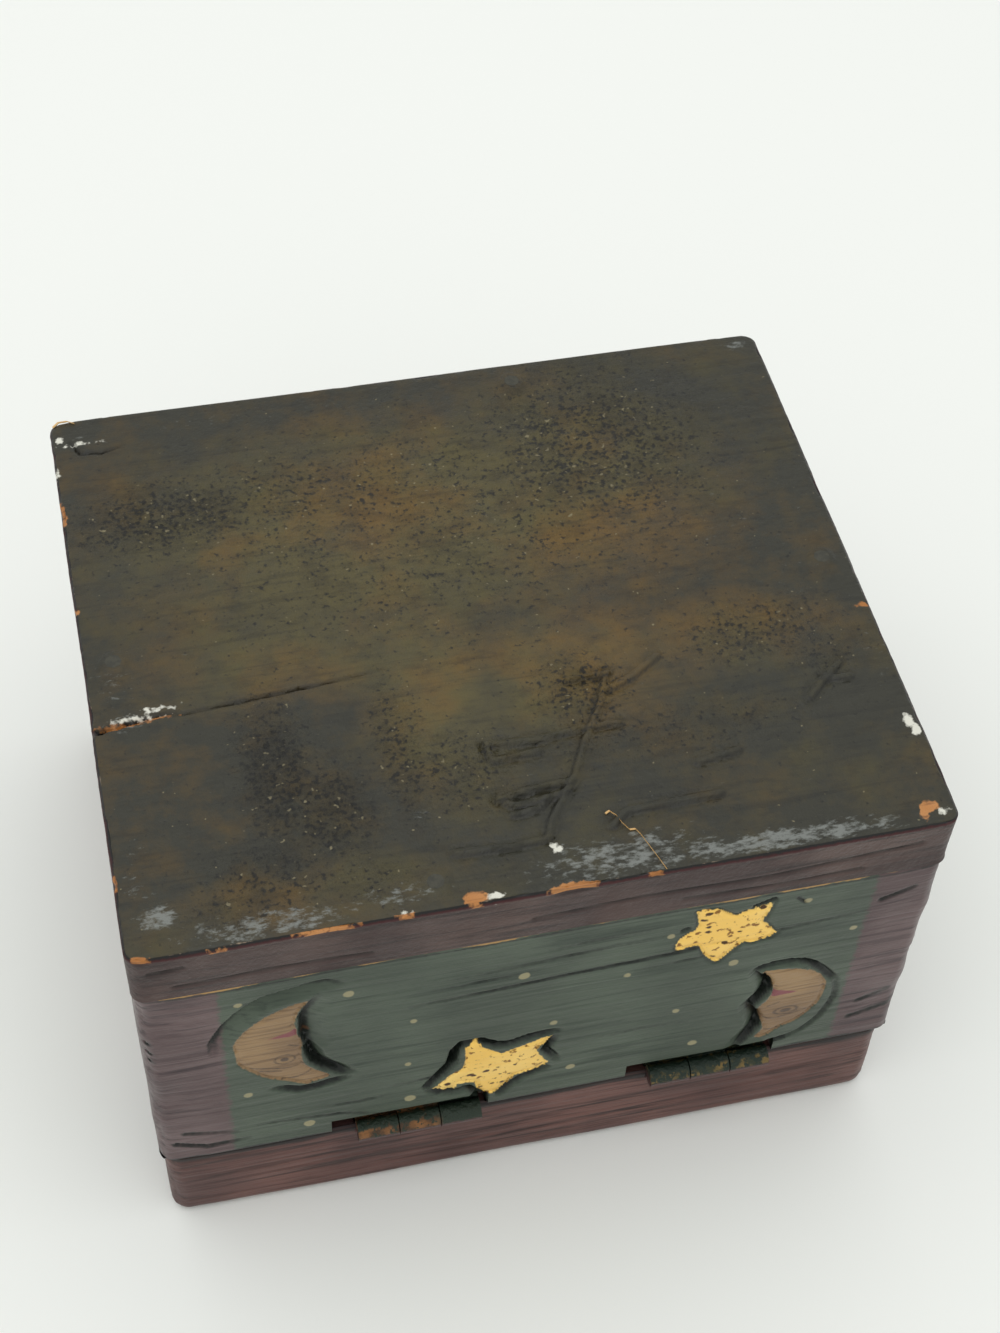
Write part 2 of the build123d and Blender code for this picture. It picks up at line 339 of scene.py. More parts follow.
rightMoon = {
    "outline": [
        (-7.4, 12.8), (-3.2, 12.6), (0.6, 11.5), (4, 9.1), (6.4, 5.7), (7, 3.3), (6.9, 0.7),
        (6.4, -2.9), (4.7, -6.5), (2.6, -8.9), (-0.8, -10.8), (-3.2, -13), (-5.8, -12.8),
        (-4.5, -10.1), (-5.2, -6.5), (-6.1, -2.9), (-6.6, -1.2), (-5.4, 0.9), (-4.5, 3.1),
        (-4.3, 6.2), (-5.6, 10.3),
    ],
    "cuts": [
        (1.3, 2.2, [(-9.4, 13.7, 0.5), (-7.8, 14.7, 1.6), (-5.8, 15.1, 2.3),
            (-2.8, 15.3, 2.5), (0.6, 14.3, 2.4), (2.8, 12.7, 2), (5.5, 9.6, 1.5), (7.9, 6.2, 1),
            (9.1, 4.5, 0.3)]),
        (0.9, 3.4, [(-7.3, 11.7, 1.6), (-6.1, 9.8, 2.2), (-5.2, 7.9, 2.5), (-5.1, 6, 2.5),
            (-5.6, 3.8, 2.4), (-6.8, 1.9, 2.2), (-8, 0.2, 1.6), (-7.8, -1.2, 1.6),
            (-6.8, -2.4, 2.2), (-5.8, -4.4, 2.5), (-5.6, -6.3, 2.4), (-5.8, -8.9, 2.2),
            (-6.8, -11.1, 1.9), (-8, -13.2, 1.4), (-9.2, -15.2, 0.6)]),
        (1.2, 1.2, [(8.5, 5, 0.5), (9.3, 1.9, 0.6), (9.5, -1.7, 0.8), (8.8, -5.3, 0.8),
            (7.6, -8.9, 0.8), (5.9, -11.6, 0.8), (4, -13.7, 0.7), (1.6, -14.9, 0.6),
            (-0.8, -15.4, 0.5)]),
    ],
    "lips": [[(-4.3, 5), (-4.3, 2.4), (1.6, 2.7)]],
    "ink": [
        [(-4.5, -1.2), (-2.2, -0.3)],
        [(-4.9, -5.3), (-2.2, -6.5), (4, -5.1)],
        [(-3.9, -10.6), (-1.5, -10.8), (1.6, -9.9)],
    ],
    "eye": (-0.3, -4.1, 2.4, 1.4),
    "pits": [],
}

lowStar = {
    "outline": [
        (-5.2, 10.6), (-3.1, 11.6), (-1.9, 9.7), (-0.1, 7.9), (2.1, 5.6), (3.7, 6.2),
        (8.5, 8.1), (10.3, 9), (12.1, 9), (11.2, 7.2), (9.2, 4.7), (9.4, 3.4), (10.3, 1.3),
        (11.7, -1.2), (11.2, -2.8), (9.4, -3.3), (5.1, -4.3), (4.2, -5.7), (2.6, -8.7),
        (0.6, -10), (-1, -9.3), (-2.2, -8), (-2.6, -6.2), (-3.1, -4.1), (-6.5, -3.4),
        (-6.9, -5), (-8.1, -5.7), (-9.4, -4.8), (-11.7, -3.8), (-10.3, -2.3), (-7.6, 1.1),
        (-6, 2), (-5.3, 3.4), (-5.1, 5.7),
    ],
    "cuts": [
        (1.8, 1.2, [(-12.5, -2.7, 1.2), (-9.6, 1.9, 2.6), (-7.6, 5.2, 2.8), (-7, 9.7, 2.4),
            (-5.6, 12.1, 1.8), (-2.6, 11.9, 2.2), (0.5, 9.3, 2.8), (3.5, 8.5, 2.6),
            (8, 10.1, 2.4), (13, 10.6, 0.6)]),
        (1.6, 1.2, [(12.6, 8.7, 0.6), (11.6, 6.1, 1.4), (10.8, 3.7, 1.8), (12.6, 1, 1.2),
            (13.6, -1.1, 0.4)]),
        (1.6, 1, [(11.5, -3.1, 0.8), (6.5, -5.3, 1.6), (3.8, -7.8, 1.6), (2, -10.3, 1)]),
        (1.8, 1.1, [(-0.8, -10.5, 1.2), (-3, -7.8, 2.2), (-4.4, -5.7, 2.4),
            (-6.8, -6.4, 2.2), (-9.6, -5.7, 1.6), (-12, -4.1, 0.8)]),
        (0.6, 0.6, [(-0.8, -9.8, 2.5), (-0.6, -14.3, 2.5)]),
    ],
    "pits": [
        (-0.8, -0.5, 0.9), (1.5, 0.2, 0.4), (5.1, 0, 0.4), (-4.2, -0.9, 0.9),
        (-3.3, -1.6, 0.8), (-8.5, -3, 1.1), (2.6, -6.2, 0.8), (0.6, -5.9, 0.7),
        (-1.9, -6.6, 0.6), (2.1, -2.8, 0.6), (4, -3.2, 0.6), (9.6, 0, 0.3),
    ],
}

highStar = {
    "outline": [
        (-7, 10.1), (-4.7, 10.3), (-2.6, 9.7), (0, 7.1), (1.1, 6.4), (2.2, 7.1), (4.1, 7.6),
        (8, 8.9), (7.6, 6.9), (7.3, 5.2), (6.5, 2.9), (7.6, 1.5), (9.1, -1), (10.1, -2.1),
        (9.1, -3.2), (7.3, -3.8), (5.2, -4.2), (3.7, -3.5), (2.8, -4.3), (0.7, -7.1),
        (-0.6, -8.8), (-1.5, -9), (-2.8, -7.5), (-3.9, -5.8), (-5.1, -2.5), (-6, -1.9),
        (-8.6, -2.5), (-9.7, -2.5), (-10, -0.4), (-9.2, 1.5), (-6.7, 3.7), (-6, 4.8),
        (-6.3, 6.3),
    ],
    "cuts": [
        (0.9, 0.9, [(4.5, 8.5, 1.6), (7.8, 9.9, 1.6)]),
        (0.9, 0.9, [(-9, 4.1, 1), (-8.2, 4.6, 1)]),
    ],
    "scored": 0.5,  # a fine line cut round it, since it hardly stands back
    "pits": [
        (-4.5, 8.5, 1.2), (-5.2, 6.5, 0.9), (-4.1, 3.9, 0.9), (-3.9, 2.2, 0.9),
        (-0.2, -2.7, 1), (-2.1, -7.1, 0.8), (2.4, 0.5, 0.5), (0.4, 2.2, 0.4),
        (2.2, -3.2, 0.3), (6, 7.6, 1.2),
    ],
}
for moon in (leftMoon, rightMoon):
    moon["outline"] = smoothed(moon["outline"], closed=True)

# The four carved walls: which way is across, the green panel's ends, where the figures
# stand, painted dots with their radii, and stray cuts
hingeWall = {
    "piece": "carvedHingeWall",
    "node": "hinge_side_wall", "across": (1, 0), "panel": (-61, 62),
    "figures": [
        (leftMoon, -51, 6.5), (rightMoon, 50.8, -10.7),
        (lowStar, -10, -16.7), (highStar, 34.2, 18.6),
    ],
    "dots": [
        (-57.5, 24.5, 0.9), (-37.5, 21.5, 1.2), (-57.3, -9, 1), (-46, -25, 1.3),
        (-26, -22.3, 1.3), (-26.5, -8.3, 0.8), (-25.5, 7.8, 0.8), (-4.7, 17, 1.3),
        (6.5, -21.7, 1.1), (2, -2.7, 0.9), (15.5, 10.5, 0.8), (23, 21.5, 0.9),
        (26.8, -6.8, 0.9), (31.7, -21, 1.1), (36.7, 8, 1.2), (49, 26, 0.9), (60, 13, 0.9),
    ],
    "cuts": [
        (0.5, 0.9, [(-26, 13.2, 0.2), (-4, 14.2, 0.5), (25, 15.5, 0.5), (62, 19, 0.2)]),
        (0.5, 0.8, [(-18, 20.2, 0.1), (4, 21.4, 0.4), (22, 22, 0.1)]),
        (0.4, 0.6, [(-22, 17.2, 0.1), (-12, 17.9, 0.4), (-2, 18, 0.1)]),
        (0.4, 0.6, [(0, 24.6, 0.1), (9, 25.2, 0.4), (21, 25, 0.1)]),
        (0.4, 0.6, [(16, 11.6, 0.1), (30, 12.4, 0.4), (44, 12.2, 0.1)]),
        (0.4, 0.6, [(-30, -16, 0.1), (-22, -15.4, 0.4), (-17, -16, 0.1)]),
        (0.4, 0.6, [(8, -12, 0.1), (20, -11.2, 0.3), (30, -12, 0.1)]),
        (0.4, 0.7, [(-46, -19, 0.1), (-36, -19.6, 0.4), (-29, -19, 0.1)]),
        (0.4, 0.7, [(-56, -21.5, 0.2), (-40, -23, 0.4), (-30, -27, 0.1)]),
        (0.5, 0.9, [(-77, 16, 1.3), (-73.6, 15, 0.2)]),
        (0.5, 0.9, [(-77, 12.4, 1.4), (-73.4, 11.6, 0.2)]),
        (0.5, 0.9, [(-77, 9.2, 1.2), (-73.8, 8.8, 0.2)]),
        (0.7, 1.6, [(-72, -24, 0.9), (-66, -26.5, 0.7), (-58, -26, 0.2)]),
        (0.6, 1.5, [(-70, -20, 0.5), (-60, -22.5, 0.2)]),
        (0.8, 0.8, [(48.4, -26.4, 1.2), (51.4, -26.2, 1.2)]),
        (0.5, 0.5, [(46.8, 27.6, 0.5), (48.6, 25.6, 0.5)]),
        (0.7, 1.4, [(64, 22, 0.6), (70, 24.5, 0.4)]),
        (0.8, 1.8, [(66, -16, 0.5), (72, -14, 0.4)]),
        (0.7, 1.6, [(65, -22, 0.5), (74, -20, 0.5)]),
    ],
}
frontWall = {
    "piece": "carvedFrontWall",
    "node": "front_wall", "across": (-1, 0), "panel": (-61.5, 61.5),
    "figures": [
        (leftMoon, -50, -7), (rightMoon, 50, 8),
        (lowStar, -8, 13), (highStar, 18, -15),
    ],
    "dots": [
        (-56, 22, 1.1), (-34, 14, 0.9), (-32, -21, 1.2), (-20, -5, 0.9), (-14, -24, 1),
        (3, -6, 0.8), (12, 24, 1.2), (30, 14, 1), (33, -25, 1.1), (58, -20, 1.2),
        (27, 2, 0.8), (-40, 26, 0.8), (47, -14, 0.9),
    ],
    "cuts": [
        (0.5, 0.9, [(-40, -2, 0.2), (0, -0.5, 0.4), (34, 1, 0.1)]),
        (0.6, 0.9, [(77, -8, 1.2), (73, -7, 0.2)]),
    ],
}
leftEnd = {
    "piece": "carvedLeftEnd",
    "node": "left_end_wall", "across": (0, -1), "panel": (-50.5, 50.5),
    "figures": [(rightMoon, -30, 5), (lowStar, 24, -8)],
    "dots": [
        (-46, 21, 1.1), (-12, 20, 1), (-10, -12, 0.9), (-44, -20, 1.2), (4, 8, 1.1),
        (22, 20, 1), (44, 12, 1.2), (43, -22, 1), (5, -25, 0.8),
    ],
    "cuts": [
        (0.5, 0.9, [(-50, -18, 0.1), (-10, -17, 0.5), (12, -18.5, 0.1)]),
    ],
}
rightEnd = {
    "piece": "carvedRightEnd",
    "node": "right_end_wall", "across": (0, 1), "panel": (-50.5, 50.5),
    "figures": [(leftMoon, 28, -4), (highStar, -24, 10)],
    "dots": [
        (-44, -20, 1.2), (-20, -15, 1), (2, 22, 1.1), (3, -4, 0.8), (12, -22, 1),
        (46, 20, 1), (-42, 24, 0.9), (47, -22, 1.1),
    ],
    "cuts": [
        (0.5, 0.9, [(-30, -5, 0.1), (-6, -6.5, 0.5), (10, -6, 0.1)]),
    ],
}
wallShape = {
    "pitch": 0.4,  # of the fine grid on the carved faces
    "corner": 3.5,
    "arris": 0.5,
    "waviness": 0.45,  # the hand-planed faces wander by this
    "cornerWaviness": 0.9,  # and the whittled corners by this
    "grain": 0.16,  # the grain stands up through the paint by this
    "sink": 0.25,  # the figures lie this much under the face
    "paintReach": 3.2,  # painted this far in from the faces
}
# Beds for the hinges: a mortise for each leaf, a round one for the barrel, and a notch round it
hingeSeat = {
    "places": (-24.2, 36.0), "length": 25.6, "leafEnd": -55.6, "leaf": 1.1,
    "barrel": 2.6, "axisZ": 24.6, "notchLeft": 17.5, "notchRight": 13.7, "notchTop": 30.0,
    "notchDepth": 3.0,
}


def addHingeCuts(cutters, seat, z, down, up):
    # leaf mortises and barrel beds
    for x in seat["places"]:
        half = seat["length"] / 2
        addBlock(cutters, (x - half, boardLow[1] - 1, z - down), (x + half, seat["leafEnd"], z + up))
        barrel = bmesh.ops.create_cone(
            cutters, cap_ends=True, segments=24, radius1=seat["barrel"],
            radius2=seat["barrel"], depth=seat["length"],
        )["verts"]
        turn = Matrix.Rotation(math.pi / 2, 3, "Y")
        bmesh.ops.rotate(cutters, cent=(0, 0, 0), matrix=turn, verts=barrel)
        bmesh.ops.translate(cutters, vec=(x, boardLow[1], seat["axisZ"]), verts=barrel)


def handMade(points, shape, along):
    # how far a planed and whittled face lies under the flat one
    corners = np.clip((np.abs(points[:, 0]) - 66) / 10, 0, 1)
    corners *= np.clip((np.abs(points[:, 1] - boxMidY) - 56) / 10, 0, 1)
    grainScale = [28 if axis == along else 1.5 for axis in range(3)]
    wander = 0.5 + 0.5 * grainNoise(points, (26, 26, 20), 1)
    whittled = 0.5 + 0.7 * grainNoise(points, (12, 12, 9), 5)
    grain = 0.5 + 0.6 * grainNoise(points, grainScale, 2)
    rough = np.clip(0.6 + 0.9 * grainNoise(points, (34, 34, 9), 3), 0.25, 1.4)
    height = shape["waviness"] * wander + shape["grain"] * grain * rough
    return np.clip(height + shape.get("cornerWaviness", 0) * whittled * corners, 0.02, 3)


def carveFigure(figure, u, v, shape):
    # depths, painted edges and painted shade round one figure, from its middle
    edge = insideBy(figure["outline"], u, v)
    depth, shade = np.zeros(len(u)), np.zeros(len(u))
    for cut in figure["cuts"]:
        sunk, dark = cutDepth(cut, u, v)
        depth, shade = np.maximum(depth, sunk), np.maximum(shade, dark)
    # the scored line gets painted shade as well
    if "scored" in figure:
        depth = np.maximum(depth, figure["scored"] * fade(np.abs(edge + 0.3), 0.6))
        shade = np.maximum(shade, 0.6 * fade(np.abs(edge + 0.4), 0.5))
    face = shape["sink"] + 0.5 * fade(edge, 1.5) ** 2
    depth = np.where(edge > 0.2, face, depth)
    painted = {key: np.full(len(u), -9.0) for key in ("inkEdge", "lipEdge", "pitEdge")}
    painted["shade"] = shade
    painted["moonEdge" if "eye" in figure else "starEdge"] = edge
    marks = [("pitEdge", 0.7 * r - np.hypot(u - x, (v - z) * 1.4)) for x, z, r in figure["pits"]]
    marks += [("lipEdge", insideBy(lips, u, v)) for lips in figure.get("lips", [])]
    for line in figure.get("ink", []):
        marks.append(("inkEdge", 0.2 - nearest(smoothed(line), u, v)[0]))
    if "eye" in figure:
        x, z, wide, tall = figure["eye"]
        ring = np.hypot((u - x) / wide, (v - z) / tall)
        marks.append(("inkEdge", np.maximum(0.18 - np.abs(ring - 1) * tall, 0.7 - ring * tall)))
    for key, mark in marks:
        painted[key] = np.maximum(painted[key], mark)
    return depth, painted


def sculptWall(wall, shape, materials):
    low, high = boxOf(wall["node"])
    outward = (wall["across"][1], -wall["across"][0])
    axis = 1 if outward[1] else 0
    sign = outward[axis]
    inner = low[axis] if sign > 0 else high[axis]
    pitch = [shape["pitch"]] * 3
    pitch[axis] = 1.0
    bm = woodBlock(low, high, pitch)
    mergeFace(bm, axis, inner)
    piece = makePiece(wall["piece"], bm, materials)
    if axis == 1:  # the end walls stand in rebates
        rebates = bmesh.new()
        edge = sorted((inner - sign, inner + sign * 6))
        for left, right in ((-78, -64), (64, 78)):
            addBlock(rebates, (left, edge[0], low[2] - 1), (right, edge[1], high[2] + 1))
        cutAway(piece, rebates)
    if wall["node"] == "hinge_side_wall":
        notches = bmesh.new()
        for x in hingeSeat["places"]:
            addBlock(
                notches, (x - hingeSeat["notchLeft"], low[1] - 1, low[2] - 1),
                (x + hingeSeat["notchRight"], low[1] + hingeSeat["notchDepth"],
                 hingeSeat["notchTop"]),
            )
        cutAway(piece, notches)
        seats = bmesh.new()
        addHingeCuts(seats, hingeSeat, low[2], 1, hingeSeat["leaf"])
        cutAway(piece, seats)
    points = readPlaces(piece.data.vertices, "co")
    bodyLow = (boardLow[0], boardLow[1], low[2])
    bodyHigh = (boardHigh[0], boardHigh[1], high[2])
    moved, normal, inset = roundedBlock(points, bodyLow, bodyHigh, shape["corner"], 0.0)
    u = points[:, 0] * wall["across"][0] + (points[:, 1] - boxMidY) * wall["across"][1]
    v = points[:, 2] - wallMidZ
    face = (points[:, axis] - inner) * sign > high[axis] - low[axis] - 0.05
    # the fields that the paint reads: millimetres inside an edge, or a painted shade from 0 to 1
    fields = {key: np.full(len(points), -9.0) for key in (
        "moonEdge", "starEdge", "inkEdge", "lipEdge", "pitEdge", "dotEdge")}
    fields["shade"], carved = np.zeros(len(points)), np.zeros(len(points))
    for figure, midU, midV in wall["figures"]:
        near = face & (np.abs(u - midU) < 20) & (np.abs(v - midV) < 24)
        depth, painted = carveFigure(figure, u[near] - midU, v[near] - midV, shape)
        carved[near] = np.maximum(carved[near], depth)
        for key, values in painted.items():
            fields[key][near] = np.maximum(fields[key][near], values)
    shade = fields["shade"]
    # the stray cuts and cracks get painted shade as well as depth
    for cut in wall["cuts"]:
        sunk, dark = cutDepth(cut, u, v)
        carved = np.maximum(carved, sunk * face)
        shade = np.maximum(shade, np.clip(2.2 * dark, 0, 0.85) * face)
    for x, z, r in wall["dots"]:
        fields["dotEdge"] = np.where(
            face, np.maximum(fields["dotEdge"], 0.85 * r - np.hypot(u - x, v - z)), fields["dotEdge"])
    height = handMade(points, shape, 1 - axis)
    height *= fade(inset, 3.5)
    height = np.maximum(height, carved + 0.4 * height)
    top, foot = high[2] - points[:, 2], points[:, 2] - low[2]
    rolled = fade(foot, 0.9) ** 2 + 0.25 * fade(top, 0.5)
    height += np.where(inset < 0.01, shape["arris"] * rolled, 0)
    moved -= normal * height[:, None]
    inNotch = (inset > 0.3) & (inset < 3.2) & (foot < 5.2) & (foot > 0.05) & (axis == 1)
    # painted shade on the back of the hinge notches
    shade = np.where(inNotch, 0.6, shade)
    # painted shade along the foot, in the gap above the lid, and in the groove under the top joint
    uneven = 0.5 * grainNoise(points, (7, 7, 7), 11)
    seamShade = np.clip((1.2 + uneven - foot) / 0.4, 0, 1)
    seamShade += np.clip(1 - np.abs(top - 0.75) / (0.5 + uneven), 0, 0.85) * (top < 1.6)
    shade = np.maximum(shade, np.where(inset < 0.01, seamShade, 0))
    fields["shade"] = shade
    fields["panelEdge"] = np.where(
        face | inNotch, np.minimum(u - wall["panel"][0], wall["panel"][1] - u), -9)
    patchy = 0.34 + 0.8 * grainNoise(points, (5, 5, 5), 6) - 0.06 * np.maximum(u - 58, 0)
    fields["bareEdge"] = np.where(inset < 0.01, np.minimum(patchy, 0.5) - top, -9)
    centres = readPlaces(piece.data.polygons, "center")
    inside = (centres[:, axis] - inner) * sign < high[axis] - low[axis] - shape["paintReach"]
    ends = (axis == 1) & (np.abs(centres[:, 0]) > 75.9)  # these show, and are painted
    finishShape(piece, moved, inside & ~ends, fields)
    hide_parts(wall["node"])
    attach(piece, "box")


# Brushed artist's paint on carved soft wood, under a thin varnish: half glossy, with the grain
# showing through. It is near black in the cuts, where paint pooled and painted shade stands in for
# their shadow. Painted shade also lies in the hinge notches and along the seams, and the stars
# have a metallic gold
wallPaint = {
    "green": "#3c463a", "greenLight": "#4a5547", "greenDark": "#2c372d",
    # hollow: the near-black of the painted shade in the cuts, notches and seams
    "plum": "#4d3a3b", "plumLight": "#635050", "plumDark": "#322327", "hollow": "#070d09",
    "moon": "#775d42", "moonLight": "#957853", "moonDark": "#5a4330",
    "gold": "#f7ca68", "goldLight": "#ffdd8a", "goldDark": "#f7ca68", "goldWorn": "#8a5f25",
    "rust": "#4a311b", "lips": "#7c4246", "ink": "#4c3a2c", "dot": "#8d8666", "bare": "#a5824f",
}
# hollow: the near-black of the painted shade under the body
lidPaint = {"plum": "#4c2e2a", "plumLight": "#68453e", "plumDark": "#251412", "hollow": "#0a0605"}
boardPaint = {
    "charcoal": "#2d2c22", "brown": "#634b1f", "olive": "#514929", "grit": "#0d0c08",
    "crust": "#2b2312", "speck": "#8a8062", "scuff": "#7d807c", "white": "#d6d4c8",
    "bare": "#a56a33", "bareLight": "#bf8650", "bareDark": "#4a2c18",
    "plum": "#3b2a28", "plumLight": "#523f3a", "plumDark": "#201413",
    "blackLine": "#0c0a09", "redLine": "#3a0c0f", "pale": "#8d7c68",
}
woodColours = {
    "sawn": "#a87a48", "sawnLight": "#b98f5c", "sawnDark": "#86592e",
    "fibre": "#d4ab70", "fibreLight": "#e3c08a", "fibreDark": "#b98a4f",
}


def grainFields(add, along):
    # streaks of 1.4 by 30 mm and finer ones of 0.4 by 9 mm, coarser than real grain so that
    # they show; blotches of 22 mm, flakes of 1.6 mm and ragged edges of 1.1 mm (scale 1 is 1 m)
    coords = add("TexCoord", out=3)
    made = {"coords": coords}
    for name, long, short, detail in (("streak", 0.03, 0.0014, 5.0), ("fine", 0.009, 0.0004, 4.0)):
        laid = add("Mapping", {
            "Vector": coords, "Scale": [1 / (long if axis == along else short) for axis in range(3)]})
        made[name] = add("TexNoise", {
            "Vector": laid, "Scale": 1.0, "Detail": detail, "Roughness": 0.6, "Distortion": 0.4})
    for name, scale, detail in (("blotch", 45.0, 3.0), ("flake", 620.0, 4.0), ("ragged", 900.0, 3.0)):
        made[name] = add("TexNoise", {"Vector": coords, "Scale": scale, "Detail": detail})
    made["ragged"] = add("Math", {"operation": "SUBTRACT", 0: made["ragged"], 1: 0.5})
    return made


def laidOver(add, colours, paint, layers):
    # paints, each a colour's name or a socket, one over another where its mask is one
    for mask, over in layers:
        pair = [toLinear(colours[c]) if isinstance(c, str) else c for c in (paint, over)]
        paint = add("Mix", {"data_type": "RGBA", 0: mask, 6: pair[0], 7: pair[1]}, out=2)
    return paint


def paintTone(add, grain, colours, name):
    # one paint: dark along the grain, light where the brush left it thick
    low = add("MapRange", {"Value": grain["streak"], "From Min": 0.3, "From Max": 0.5})
    high = add("MapRange", {"Value": grain["blotch"], "From Min": 0.4, "From Max": 0.66})
    lit = laidOver(add, colours, name, [(high, name + "Light")])
    return laidOver(add, colours, name + "Dark", [(low, lit)])


def paintedEdges(add, grain, edges):
    # masks that are one inside a field's edge, whose line wobbles and is soft by millimetres
    masks = {}
    for name, wobble, soft in edges:
        value = add("Attribute", {"attribute_name": name + "Edge"}, out=2)
        moved = add("Math", {"operation": "MULTIPLY_ADD", 0: grain["ragged"], 1: wobble, 2: value})
        masks[name] = add("MapRange", {"Value": moved, "From Min": -soft, "From Max": soft})
    return masks


def makeWallPaint(name, colours, along):
    material, add = newMaterial(name)
    grain = grainFields(add, along)
    green, plum, moon, gold = [
        paintTone(add, grain, colours, tone) for tone in ("green", "plum", "moon", "gold")]
    shade = add("Attribute", {"attribute_name": "shade"}, out=2)
    rougher = add("Math", {"operation": "MULTIPLY_ADD", 0: grain["ragged"], 1: 0.9, 2: shade})
    # painted shade: the shade field, with ragged edges, lays the near-black hollow colour in the cuts,
    # notches and seams, over the paint that pooled in the cuts
    pooledPaintAndShade = add("MapRange", {"Value": rougher, "From Min": 0.1, "From Max": 0.9, "To Max": 0.95})
    edges = paintedEdges(add, grain, (
        ("panel", 2.5, 0.5), ("moon", 0.7, 0.12), ("lip", 0.5, 0.12), ("ink", 0.25, 0.12),
        ("star", 0.9, 0.12), ("pit", 1.2, 0.15), ("dot", 0.5, 0.15), ("bare", 0.6, 0.15)))
    inkMask = add("Math", {"operation": "MULTIPLY", 0: edges["ink"], 1: edges["moon"]})
    worn = add("MapRange", {"Value": grain["flake"], "From Min": 0.57, "From Max": 0.64})
    wornStar = add("Math", {"operation": "MULTIPLY", 0: worn, 1: edges["star"]})
    paint = laidOver(add, colours, plum, [
        (edges["panel"], green), (pooledPaintAndShade, "hollow"), (edges["moon"], moon), (edges["lip"], "lips"),
        (inkMask, "ink"), (edges["star"], gold), (wornStar, "goldWorn"), (edges["pit"], "rust"),
        (edges["dot"], "dot"), (edges["bare"], "bare"),
    ])
    gloss = add("MapRange", {
        "Value": grain["streak"], "From Min": 0.3, "From Max": 0.7, "To Min": 0.46, "To Max": 0.3})
    relief = add("Math", {"operation": "MULTIPLY_ADD", 0: grain["flake"], 1: 0.6, 2: grain["streak"]})
    metal = add("Math", {"operation": "MULTIPLY", 0: edges["star"], 1: 0.55})
    return finishMaterial(
        material, add, {"Height": relief, "Strength": 0.5, "Distance": 0.00028},
        {"Base Color": paint, "Roughness": gloss, "Metallic": metal, "Specular IOR Level": 0.32})


# Sawn soft wood without paint: matt, orange brown with darker grain lines; torn fibres are paler
def makeBareWood(name, tone):
    material, add = newMaterial(name)
    grain = grainFields(add, 0)
    wood = paintTone(add, grain, woodColours, tone)
    return finishMaterial(
        material, add, {"Height": grain["streak"], "Strength": 0.5, "Distance": 0.0002},
        {"Base Color": wood, "Roughness": 0.72})


longWallPaint = makeWallPaint("paintedPineLong", wallPaint, 0)
endWallPaint = makeWallPaint("paintedPineEnds", wallPaint, 1)
bareWood = makeBareWood("bareSoftwood", "sawn")
paleFibre = makeBareWood("paleWoodFibre", "fibre")

for wall in (hingeWall, frontWall, leftEnd, rightEnd):
    sculptWall(wall, wallShape, [longWallPaint if wall["across"][0] else endWallPaint, bareWood])
    print(wall["piece"], "carved")


